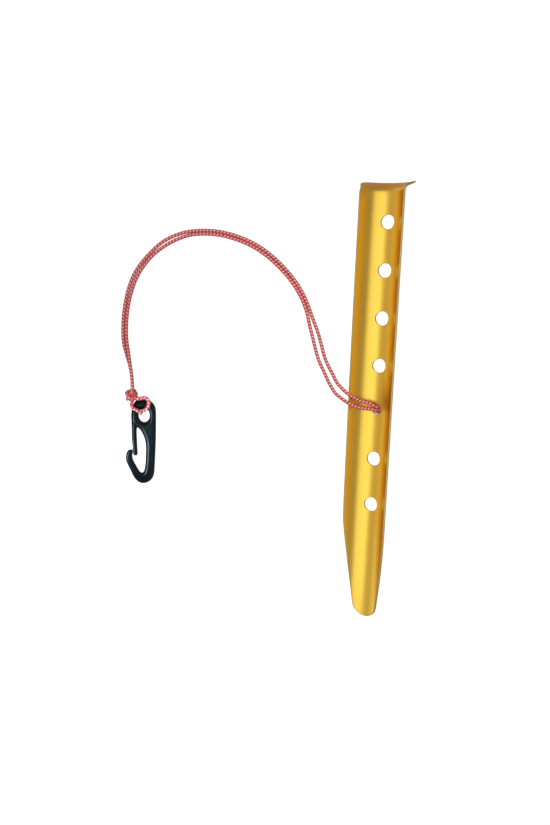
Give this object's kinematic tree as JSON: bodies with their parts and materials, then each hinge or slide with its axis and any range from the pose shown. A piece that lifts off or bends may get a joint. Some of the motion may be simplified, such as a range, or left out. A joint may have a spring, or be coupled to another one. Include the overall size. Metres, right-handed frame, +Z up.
{
  "type": "snow peg",
  "caption": "Curved aluminium snow peg with a flared lip, punched holes and a round tip, on a doubled cord with a sprung plastic hook.",
  "frame": {"origin": "bottom centre of the blade's box, on the surface that the peg lies on", "axes": "+Y along the blade from its tip to its flared lip, +Z up; the cord and the hook lie on the -X side"},
  "size_m": [0.156, 0.2414, 0.0243],
  "materials": {
    "gold_anodised": "satin gold anodised",
    "red_cord": "braided red cord with pale flecks",
    "black_nylon": "smooth black moulding"
  },
  "bodies": {
    "peg": {"peg_blade": "gold_anodised", "stopper_knot": "red_cord", "outer_strand": "red_cord", "inner_strand": "red_cord", "hook_loop": "red_cord", "loose_end": "red_cord", "hook_knot": "red_cord", "hook_body": "black_nylon"},
    "gate": {"hook_gate": "black_nylon"}
  },
  "joints": [
    {"name": "gate_flex", "type": "hinge", "parent": "peg", "child": "gate", "pos_m": [-0.1317, -0.02013, 0.00375], "axis": [0.0023, -0.0575, 0.9983], "range_deg": [0, 17], "stiffness_Nm_per_rad": 0.15}
  ]
}
